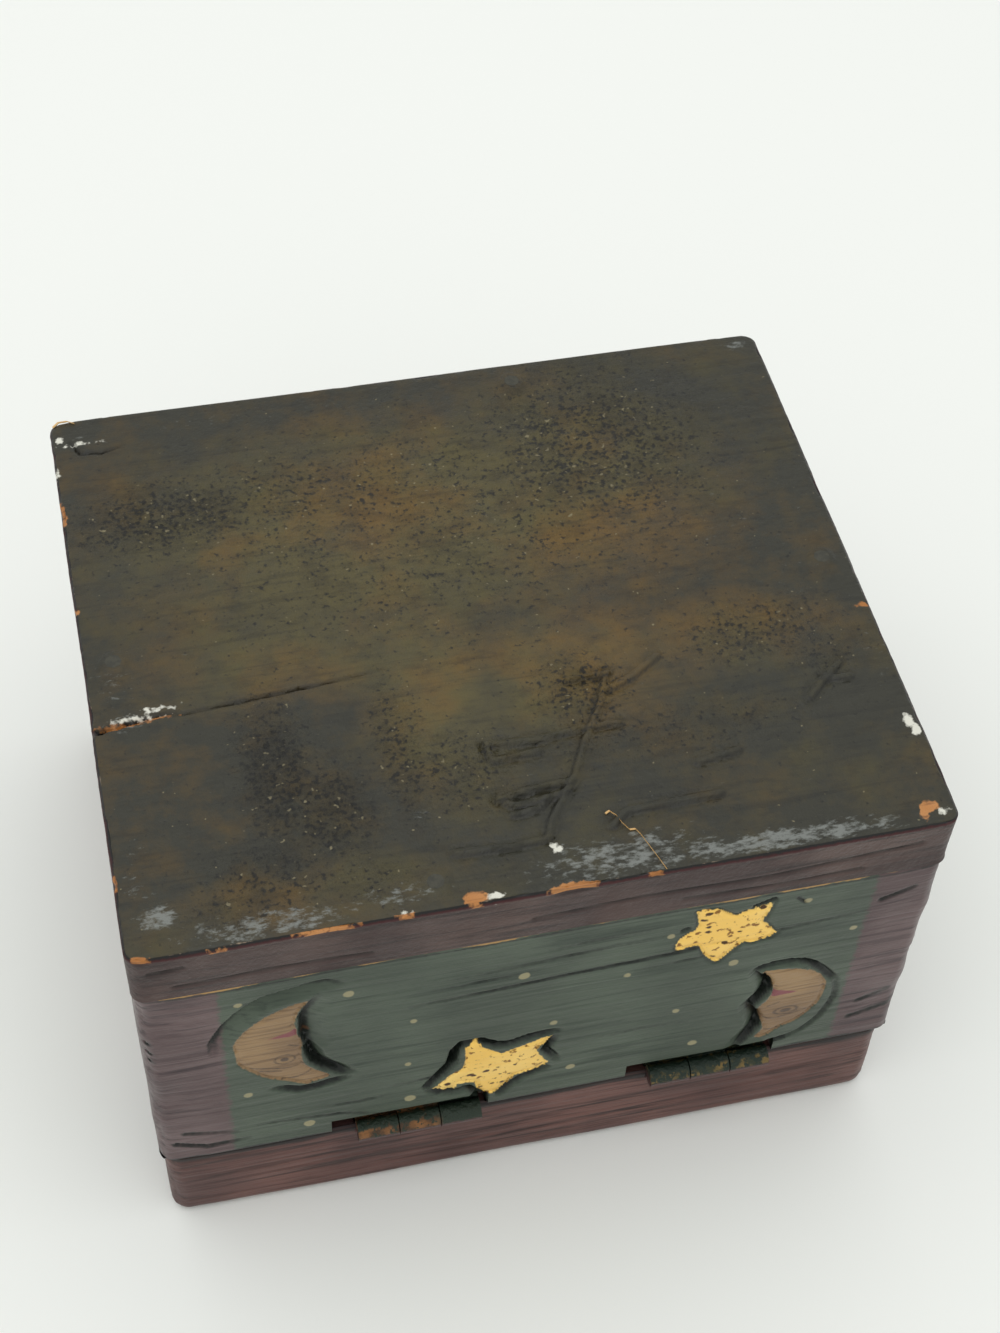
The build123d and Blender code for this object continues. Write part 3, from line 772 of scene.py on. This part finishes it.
# The underside board, which is on top here: scuffed, cracked at one end, with grit in its paint
boardShape = {
    "pitch": 0.55, "corner": 3.0, "arris": 1.0, "waviness": 0.4, "cornerWaviness": 0.5,
    "grain": 0.14, "sink": 0.32,
    "sideCracks": [
        [(-4, 92.2), (16, 93.4), (40, 93), (69, 95.2)], [(-68, 90.4), (-52, 91.2), (-33, 90.2)],
        [(24, 90.2), (44, 89.6), (58, 90.2)], [(-72, 95.6), (-66, 96.4)],
    ],
    "cuts": [
        (0.9, 0.6, [(-77, -15, 2.2), (-71, -14, 1.6), (-64, -12.8, 0.8), (-60, -12.6, 0.4)]),
        (0.5, 0.5, [(-61, -13.4, 0.4), (-48, -12.4, 0.9), (-35, -11.4, 0.8), (-18, -9.7, 0.1)]),
        (0.6, 0.5, [(-72, 60.5, 0.5), (-70.5, 57, 0.9), (-66, 56.4, 0.9), (-62, 57.5, 0.3)]),
    ],
    "ridges": [
        [(-5.5, -31.2), (4, -31.6), (14.6, -30.6), (20, -30.8)],
        [(-5.5, -31.2), (-5, -34.9), (4, -34.2)],
        [(-6, -43.4), (0, -42.4), (8, -41.9)],
        [(-6, -43.4), (-3, -45.4), (4, -44.6), (7, -43.8)],
        [(-4, -47.2), (1, -46.6), (2.6, -45)],
        [(-16, -53.4), (-6, -53.9), (1, -53.4)],
        [(20.5, -19), (17.6, -26), (12.6, -33.9), (9, -41), (6, -45), (2.4, -50), (1, -53.4)],
        [(20.5, -22.6), (25, -20.8), (31, -16.8)],
        [(13, -19.2), (20.5, -19)],
        [(32, -42.4), (40, -41.2)],
        [(57, -32), (61, -28.2), (65, -25)],
        [(61, -28.2), (66, -28.6)],
        [(13, -53), (16, -50.5), (34, -50)],
    ],
    "rough": [
        (-55, 36, 19, 9, 0.85), (-28, 38, 26, 10, 0.6), (-44, -31, 7, 17, 0.85),
        (-36, -40, 8, 11, 0.8), (-21, -30, 5, 16, 0.7), (-12, -36, 9, 9, 0.6), (-48, -52, 12, 8, 0.6),
        (33, 40, 24, 24, 0.75), (14, -22, 9, 9, 0.7), (52, -14, 16, 8, 0.65), (62, -20, 10, 6, 0.5),
        (-54, -57.5, 9, 4, 0.6), (-32, -56, 9, 4, 0.5), (0, 26, 56, 30, 0.45), (30, -34, 26, 6, 0.4),
    ],
    "brown": [
        (-8, 26, 50, 24, 1), (24, 30, 26, 24, 0.9), (-12, -14, 12, 26, 0.8),
        (14, -16, 18, 14, 0.8), (46, -14, 20, 8, 0.6), (-30, -2, 30, 12, 0.6), (-44, -58, 24, 6, 0.4),
    ],
    "bare": [
        (-75.6, 40.6, 0.9, 3.2), (-75.7, 15.1, 0.9, 0.7), (-76, -47.9, 0.8, 1.4),
        (-41, -65.6, 6.3, 1), (-14.6, -63.4, 2.2, 1.6), (3, -64.7, 4.4, 1.2),
        (70.6, -60.2, 1.9, 1.3), (69.2, -61.6, 0.9, 1.4), (-73.5, -64.6, 2, 0.8),
        (74.6, -11.9, 1.5, 0.6), (-70, -13.8, 4.6, 0.5), (-64, -13.2, 3, 0.4),
        (-27, -64.6, 1.4, 0.5), (-60, -65.4, 1.6, 0.5), (18, -64.8, 1.2, 0.4),
    ],
    "white": [
        (-10.9, -63.7, 1.3, 0.7), (1.4, -55.2, 0.6, 0.8), (2.1, -56.1, 0.8, 0.5), (73.4, -41, 1, 1.4),
        (74.1, -43.4, 0.8, 1.3), (72.6, -61.8, 1.2, 0.6), (-75.6, 52, 0.5, 1.3),
        (-68, -12.6, 3, 0.35), (-64, -11.2, 2.4, 0.3), (-27, -64, 0.8, 0.4),
        (-70, 59.6, 2.4, 0.3), (-74, 61, 0.6, 0.8),
    ],
    "scuffs": [
        (-69, -56.4, 3.2, 2.6, 1), (-50, -61.5, 17, 3, 0.75), (-28, -60, 9, 3, 0.5),
        (14, -60, 16, 4.6, 0.8), (42, -62, 22, 2.4, 0.95), (71, 63.5, 3, 1.6, 0.7),
        (-70, -14, 6, 2.6, 0.6), (-71, -4, 4, 8, 0.35), (-72, -50, 3, 9, 0.4),
        (-70, 61, 6, 3, 0.3), (-40, 62, 22, 2.4, 0.25), (-20, -44, 3, 1.4, 0.4),
        (73, -30, 2, 16, 0.3), (56, 10, 14, 18, 0.16), (-32, -52, 3, 1, 0.4),
    ],
    "pins": [(-20.7, -58.9), (20.7, 61.1), (-70, 1.1), (70, 1.1)],
}


def patches(items, x, y):
    # how deep a point lies in oval patches: in millimetres, or softly where they have a strength
    best = np.full(len(x), -9.0)
    for midX, midY, wide, tall, *strength in items:
        away = np.hypot((x - midX) / wide, (y - midY) / tall)
        sharp = (1 - away) * min(wide, tall)
        best = np.maximum(best, strength[0] * np.clip(1.5 - away, 0, 1) if strength else sharp)
    return best


def makeBoardPaint(name, colours):
    # thin charcoal paint over rough sawn wood: dull, gritty, browner where it has rubbed thin,
    # with near-black painted shade in its cuts and cracks and along one side of each ridge
    material, add = newMaterial(name)
    grain = grainFields(add, 0)
    coords = grain["coords"]
    scraped = add("Mapping", {"Vector": coords, "Scale": (0.45, 1.0, 1.0)})
    patterns = {}
    for pattern, where, scale, detail, roughness in (  # clouds of 14 mm down to grit of 1 mm
        ("cloud", coords, 70.0, 9.0, 0.7), ("warm", coords, 26.0, 6.0, 0.65),
        ("grit", coords, 1000.0, 4.0, 0.55), ("speck", coords, 900.0, 1.0, 0.5),
        ("scrape", scraped, 900.0, 5.0, 0.7), ("smear", coords, 120.0, 4.0, 0.6),
        ("fine", scraped, 420.0, 6.0, 0.7),
    ):
        patterns[pattern] = add("TexNoise", {
            "Vector": where, "Scale": scale, "Detail": detail, "Roughness": roughness})
    masks = {}
    for mask, field, amount, pattern, start, end, most in (
        ("thin", "brown", 0.5, "cloud", 0.45, 0.95, 1.0),
        ("crust", "rough", 0.2, "smear", 0.6, 0.8, 0.4),
        ("mottle", "rough", 0.1, "fine", 0.5, 0.68, 0.35),
        ("grit", "rough", -0.2, "grit", 0.36, 0.24, 0.9),
        ("speck", "rough", 0.12, "speck", 0.79, 0.84, 0.7),
        ("scuff", "scuff", 0.34, "scrape", 0.7, 0.86, 0.8),
        ("shade", "shade", 1.0, None, 0.1, 0.9, 0.92),
    ):
        value = add("Attribute", {"attribute_name": field}, out=2)
        if pattern:
            value = add("Math", {
                "operation": "MULTIPLY_ADD", 0: value, 1: amount, 2: patterns[pattern]})
        masks[mask] = add("MapRange", {
            "Value": value, "From Min": start, "From Max": end, "To Max": most})
    warmMask = add("MapRange", {"Value": patterns["warm"], "From Min": 0.42, "From Max": 0.6})
    thin = laidOver(add, colours, "olive", [(warmMask, "brown")])
    plum, wood = [paintTone(add, grain, colours, tone) for tone in ("plum", "bare")]
    streaks = add("MapRange", {
        "Value": grain["streak"], "From Min": 0.3, "From Max": 0.46, "To Min": 0.3, "To Max": 0.0})
    edges = paintedEdges(add, grain, (
        ("black", 0.8, 0.2), ("red", 0.8, 0.2), ("plum", 0.8, 0.2), ("pale", 1.3, 0.15),
        ("bare", 1.5, 0.15), ("white", 2.0, 0.2)))
    paint = laidOver(add, colours, "charcoal", [
        (masks["thin"], thin), (streaks, "grit"), (masks["crust"], "crust"),
        (masks["grit"], "grit"), (masks["speck"], "speck"), (masks["mottle"], "grit"),
        (masks["scuff"], "scuff"), (edges["black"], "blackLine"), (edges["red"], "redLine"),
        # the near-black grit colour also lays the painted shade
        (edges["plum"], plum), (masks["shade"], "grit"), (edges["pale"], "pale"),
        (edges["bare"], wood), (edges["white"], "white"),
    ])
    roughField = add("Attribute", {"attribute_name": "rough"}, out=2)
    gritHeight = add("Math", {"operation": "ADD", 0: roughField, 1: 0.2})
    relief = add("Math", {"operation": "MULTIPLY", 0: gritHeight, 1: patterns["grit"]})
    gritty = add("Bump", {"Height": relief, "Strength": 1.0, "Distance": 0.0011})
    gloss = add("MapRange", {
        "Value": patterns["cloud"], "From Min": 0.35, "From Max": 0.65, "To Min": 0.34, "To Max": 0.6})
    return finishMaterial(
        material, add, {"Height": grain["streak"], "Strength": 0.35, "Distance": 0.00025, "Normal": gritty},
        {"Base Color": paint, "Roughness": gloss, "Specular IOR Level": 0.38})


def sculptBoard(shape, materials):
    bm = woodBlock(boardLow, boardHigh, [shape["pitch"]] * 3)
    mergeFace(bm, 2, boardLow[2])
    piece = makePiece("scuffedBoard", bm, materials)
    points = readPlaces(piece.data.vertices, "co")
    moved, normal, inset = roundedBlock(
        points, boardLow, boardHigh, shape["corner"], shape["arris"])
    x, y, down = points[:, 0], points[:, 1], boardHigh[2] - points[:, 2]
    top = normal[:, 2] > 0.3
    held = np.minimum(x - boardLow[0], boardHigh[0] - x)
    held = np.minimum(held, np.minimum(y - boardLow[1], boardHigh[1] - y))
    overEdge = np.where(down < 0.01, held, -down)
    height = handMade(points, shape, 0)
    rough = patches(shape["rough"], x, y) * top
    ragged = 0.5 + 0.5 * grainNoise(points, (1.1, 1.1, 1.1), 7)
    height += 0.35 * rough * np.clip(ragged, 0, 1)
    dents = np.clip(grainNoise(points, (4, 4, 4), 8) - 0.1, 0, 1)
    height += 1.1 * dents * fade(np.abs(overEdge), 1.6)
    # painted shade: in the cuts, along one side of each ridge and in the side cracks
    shade = np.zeros(len(points))
    for cut in shape["cuts"]:
        sunk, dark = cutDepth(cut, x, y)
        height += sunk * (down < 4)
        shade = np.maximum(shade, dark * (down < 4))
    height += np.where(top, shape["sink"], 0)
    for ridge in shape["ridges"]:
        away, side = nearest(ridge, x, y)[:2]
        height -= np.where(top, 0.7 * np.clip(1.1 - away / 0.8, 0, 1), 0)
        height += np.where(top, 0.3 * fade(np.abs(away - 1.2), 0.6), 0)
        # painted shade down one side of the ridge
        shade = np.maximum(shade, 0.8 * top * fade(np.abs(away - 0.8), 0.5) * (side < 0))
    for crack in shape["sideCracks"]:
        line = fade(nearest(crack, x, points[:, 2])[0], 0.6) * (y < boardLow[1] + 0.1)
        height += 0.5 * line
        # painted shade in the crack
        shade = np.maximum(shade, 0.9 * line)
    near = down < 2.2
    bare = np.where(near, patches(shape["bare"], x, y), -9)
    white = np.where(near, patches(shape["white"], x, y), -9)
    height += 0.6 * np.clip(bare, 0, 0.8)
    for pinX, pinY in shape["pins"]:
        calm = np.clip(3.2 - np.hypot(x - pinX, y - pinY), 0, 1)
        height = np.where(top, height * (1 - calm), height)
    height = np.clip(height, 0.02, 3)
    height *= np.where(top, 1, np.clip((points[:, 2] - boardLow[2]) / 0.3, 0.4, 1))
    low = fade(points[:, 2] - boardLow[2], 0.9) ** 2
    height += np.where(inset < 0.01, 0.15 * low, 0)
    inner = (points[:, 2] < boardLow[2] + 0.01) & (inset > 0.5)
    moved -= normal * np.where(inner, 0, height)[:, None]
    worn = 0.5 * grainNoise(points, (6, 6, 6), 9) - 0.25
    fields = {
        "brown": patches(shape["brown"], x, y), "rough": rough,
        "scuff": patches(shape["scuffs"], x, y) * (down < 1.5), "shade": shade,
        "blackEdge": 0.1 - overEdge, "redEdge": -0.9 - overEdge, "plumEdge": -1.5 - overEdge,
        "paleEdge": worn - np.abs(overEdge - 0.1) * 0.6, "bareEdge": bare, "whiteEdge": white,
    }
    under = readPlaces(piece.data.polygons, "center")[:, 2] < boardLow[2] + 0.05
    finishShape(piece, moved, under, fields)
    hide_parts("underside_board")
    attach(piece, "box")


sculptBoard(boardShape, [makeBoardPaint("scuffedCharcoalPaint", boardPaint), bareWood])
print("board done")


# Loose wood fibres stuck to the board: a long curl near the front and a sliver at a corner
fibres = {
    "fibreCurl": {
        "radius": 0.2,
        "path": [
            (12.2, -50.6, 100.75), (13, -50.2, 100.8), (14, -51.4, 100.8), (14.6, -53, 100.75),
            (15.6, -54.8, 100.7), (16.6, -54.9, 100.78), (17.2, -56, 100.78), (18.2, -59, 100.75),
            (19.2, -62, 100.7), (19.9, -64, 100.5),
        ],
    },
    "cornerSliver": {
        "radius": 0.22,
        "path": [(-75, 65.6, 100.2), (-73.8, 66.4, 100.6), (-72, 66.3, 100.75), (-70.6, 65.6, 100.6)],
    },
}


def makeFibre(name, fibre, material):
    bm = bmesh.new()
    path = [Vector(p) for p in fibre["path"]]
    ring = bmesh.ops.create_circle(bm, cap_ends=True, segments=6, radius=fibre["radius"])["verts"]
    turn = (path[1] - path[0]).to_track_quat("Z", "Y").to_matrix()
    bmesh.ops.rotate(bm, cent=(0, 0, 0), matrix=turn, verts=ring)
    bmesh.ops.translate(bm, vec=path[0], verts=ring)
    end = bm.faces[:]
    for before, after in zip(path, path[1:]):
        made = bmesh.ops.extrude_face_region(bm, geom=end)["geom"]
        moved = [g for g in made if isinstance(g, bmesh.types.BMVert)]
        bmesh.ops.delete(bm, geom=end, context="FACES_ONLY")
        end = [g for g in made if isinstance(g, bmesh.types.BMFace)]
        bmesh.ops.translate(bm, vec=after - before, verts=moved)
    bmesh.ops.holes_fill(bm, edges=bm.edges, sides=6)
    bmesh.ops.recalc_face_normals(bm, faces=bm.faces)
    bmesh.ops.scale(bm, vec=(mm, mm, mm), verts=bm.verts)
    piece = makePiece(name, bm, [material])
    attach(piece, "box")


for name, fibre in fibres.items():
    makeFibre(name, fibre, paleFibre)
print("fibres done")


# The lid, a thick board that the box lies on
lidShape = {
    "pitch": 0.5, "corner": 4.0, "arris": 2.6, "topArris": 0.6, "waviness": 0.45,
    "cornerWaviness": 0.7, "grain": 0.35, "paintReach": 3.2,
    "hollow": (64, 54, 8, 6),  # half its length and width, its depth and its corners
}


def makeLidPaint(name, colours):
    # brushed plum paint, thin enough to show every line of the soft wood, with near-black
    # painted shade high on its sides under the body and a lighter painted shade on its top face
    material, add = newMaterial(name)
    grain = grainFields(add, 0)
    plum = paintTone(add, grain, colours, "plum")
    lines = add("MapRange", {
        "Value": grain["fine"], "From Min": 0.3, "From Max": 0.44, "To Min": 0.6, "To Max": 0.0})
    shade = add("Attribute", {"attribute_name": "shade"}, out=2)
    # painted shade where the shade field says, in the hollow colour
    paint = laidOver(add, colours, plum, [(lines, "plumDark"), (shade, "hollow")])
    gloss = add("MapRange", {
        "Value": grain["streak"], "From Min": 0.3, "From Max": 0.7, "To Min": 0.52, "To Max": 0.36})
    relief = add("Math", {"operation": "MULTIPLY_ADD", 0: grain["fine"], 1: 0.4, 2: grain["streak"]})
    return finishMaterial(
        material, add, {"Height": relief, "Strength": 0.6, "Distance": 0.0003},
        {"Base Color": paint, "Roughness": gloss, "Specular IOR Level": 0.32})


def sculptLid(shape, materials):
    bm = woodBlock(lidLow, lidHigh, [shape["pitch"]] * 3)
    mergeFace(bm, 2, lidLow[2])
    mergeFace(bm, 2, lidHigh[2], 6.0)
    piece = makePiece("thickLid", bm, materials)
    halfX, halfY, deep, corner = shape["hollow"]
    hollow = bmesh.new()
    addBlock(hollow, (-halfX, boxMidY - halfY, lidHigh[2] - deep),
             (halfX, boxMidY + halfY, lidHigh[2] + 1))
    upright = [e for e in hollow.edges if abs(e.verts[0].co.z - e.verts[1].co.z) > 1]
    bmesh.ops.bevel(hollow, geom=upright, offset=corner, offset_type="OFFSET", segments=6,
                    profile=0.5, affect="EDGES", material=-1)
    cutAway(piece, hollow)
    seats = bmesh.new()
    addHingeCuts(seats, hingeSeat, lidHigh[2], hingeSeat["leaf"], 1)
    cutAway(piece, seats)
    points = readPlaces(piece.data.vertices, "co")
    moved, normal, inset = roundedBlock(
        points, lidLow, lidHigh, shape["corner"], 0.0, shape["arris"])
    height = handMade(points, shape, 0) * fade(inset, 3.5)
    top = lidHigh[2] - points[:, 2]
    height += np.where(inset < 0.01, shape["topArris"] * fade(top, 0.9) ** 2, 0)
    moved -= normal * height[:, None]
    centres = readPlaces(piece.data.polygons, "center")
    held = np.minimum(np.abs(centres[:, 0] - lidLow[0]), np.abs(lidHigh[0] - centres[:, 0]))
    held = np.minimum(held, np.minimum(centres[:, 1] - lidLow[1], lidHigh[1] - centres[:, 1]))
    bare = (held > shape["paintReach"]) & (centres[:, 2] > 1)
    uneven = 0.6 * grainNoise(points, (7, 7, 7), 11)
    # painted shade high on the sides, under the body's edge, and lighter on the top face
    seamShade = np.clip((2.1 + uneven - top) / 0.5, 0, 1) * (inset < 0.01)
    shade = np.maximum(0.92 * seamShade, 0.45 * (top < 0.01) * (inset > 0.2))
    finishShape(piece, moved, bare, {"shade": shade})
    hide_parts("lid")
    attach(piece, "lid")


sculptLid(lidShape, [makeLidPaint("brushedPlumPaint", lidPaint), bareWood])
print("lid done")


# Hinges: plain brass, painted over with the box and worn through on the barrels
hingeFinish = {
    "left": {"brass": "#80542a", "patina": "#3f2a14", "paint": "#1c2a1d", "lidPaint": "#4a3230",
             "paintFrom": -20.5, "cover": 0.42},
    "right": {"brass": "#6f5a2c", "patina": "#2a2f1a", "paint": "#142419", "lidPaint": "#4a3230",
              "paintFrom": 80.0, "cover": 0.5},
}


def makeHingeBrass(name, finish):
    # worn brown brass in a strip along the barrel, green paint above it and plum below
    material, add = newMaterial(name)
    coords = add("TexCoord", out=3)
    across, outward, height = add("SeparateXYZ", {"Vector": coords}).node.outputs
    crust = add("TexNoise", {  # lumps of 1.3 mm
        "Vector": coords, "Scale": 800.0, "Detail": 5.0, "Roughness": 0.65})
    crusted = add("MapRange", {
        "Value": crust, "From Min": 0.95 - finish["cover"], "From Max": 1.0 - finish["cover"]})
    ragged = add("Math", {"operation": "MULTIPLY_ADD", 0: crust, 1: 0.0016, 2: height})
    onBarrel = add("MapRange", {"Value": outward, "From Min": -62.4 * mm, "From Max": -62.8 * mm})
    layers = [(crusted, "paint")]
    for value, start, end, colour in (
        (across, finish["paintFrom"] - 1, finish["paintFrom"] + 1, "paint"),
        (ragged, 27.1, 27.4, "paint"), (ragged, 25.8, 25.5, "lidPaint"),
    ):
        mask = add("MapRange", {"Value": value, "From Min": start * mm, "From Max": end * mm})
        if value == ragged:
            mask = add("Math", {"operation": "MULTIPLY", 0: mask, 1: onBarrel})
        layers.append((mask, colour))
    dull = add("TexNoise", {"Vector": coords, "Scale": 300.0, "Detail": 4.0})
    dullMask = add("MapRange", {"Value": dull, "From Min": 0.38, "From Max": 0.56})
    brass = laidOver(add, finish, "brass", [(dullMask, "patina")])
    return finishMaterial(
        material, add, {"Height": crust, "Strength": 1.0, "Distance": 0.0006},
        {"Base Color": laidOver(add, finish, brass, layers), "Metallic": 0.25, "Roughness": 0.45})


# Steel nail heads, rusted brown and dull, and the board's pins under filler and paint
nailFinish = {
    "rustedNailSteel": {"base": "#8a7f70", "rust": "#5a3d26", "metallic": 0.8},
    "paintedPinFiller": {"base": "#38362a", "rust": "#2c2b21", "metallic": 0.0},
}


def makeNailSteel(name):
    finish = nailFinish[name]
    material, add = newMaterial(name)
    coords = add("TexCoord", out=3)
    spots = add("TexNoise", {"Vector": coords, "Scale": 900.0, "Detail": 4.0})
    mask = add("MapRange", {"Value": spots, "From Min": 0.42, "From Max": 0.6})
    colour = laidOver(add, finish, "base", [(mask, "rust")])
    return finishMaterial(
        material, add, {"Height": spots, "Strength": 0.6, "Distance": 0.0002},
        {"Base Color": colour, "Metallic": finish["metallic"], "Roughness": 0.55})


leftBrass = makeHingeBrass("wornBrassLeft", hingeFinish["left"])
rightBrass = makeHingeBrass("paintedBrassRight", hingeFinish["right"])
nailSteel = makeNailSteel("rustedNailSteel")
filledPin = makeNailSteel("paintedPinFiller")
for node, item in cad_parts.items():
    for name, finish in (("left_hinge", leftBrass), ("right_hinge", rightBrass),
                         ("leaf_nails", nailSteel), ("board_pins", filledPin)):
        if name in node:
            for slot in item.material_slots:
                slot.material = finish
print("hinges done")


# Pale floor and soft studio light
studio = {
    "floor": "#f1f2ee", "sky": 0.88,
    "lamp": 4.6, "lampSize": 1.3, "lampPlace": (-0.15, -0.1, 1.3),  # watts and metres
}


def makeStudio(settings):
    bm = bmesh.new()
    bmesh.ops.create_grid(bm, x_segments=1, y_segments=1, size=20.0)
    material, add = newMaterial("paleFloor")
    shader = add("BsdfPrincipled", {"Base Color": toLinear(settings["floor"]), "Roughness": 0.6})
    add("OutputMaterial", {"Surface": shader})
    makePiece("floor", bm, [material])
    world = bpy.data.worlds.new("studio")
    world.use_nodes = True
    background = world.node_tree.nodes["Background"]
    background.inputs["Color"].default_value = (0.98, 1.0, 0.99, 1.0)
    background.inputs["Strength"].default_value = settings["sky"]
    bpy.context.scene.world = world
    data = bpy.data.lights.new("softbox", "AREA")
    data.energy = settings["lamp"]
    data.size = settings["lampSize"]
    lamp = bpy.data.objects.new("softbox", data)
    lamp.location = settings["lampPlace"]
    lamp.rotation_euler = (-lamp.location).to_track_quat("-Z", "Y").to_euler()
    bpy.context.scene.collection.objects.link(lamp)
    bpy.context.scene.view_settings.view_transform = "Standard"


makeStudio(studio)
print("studio done")
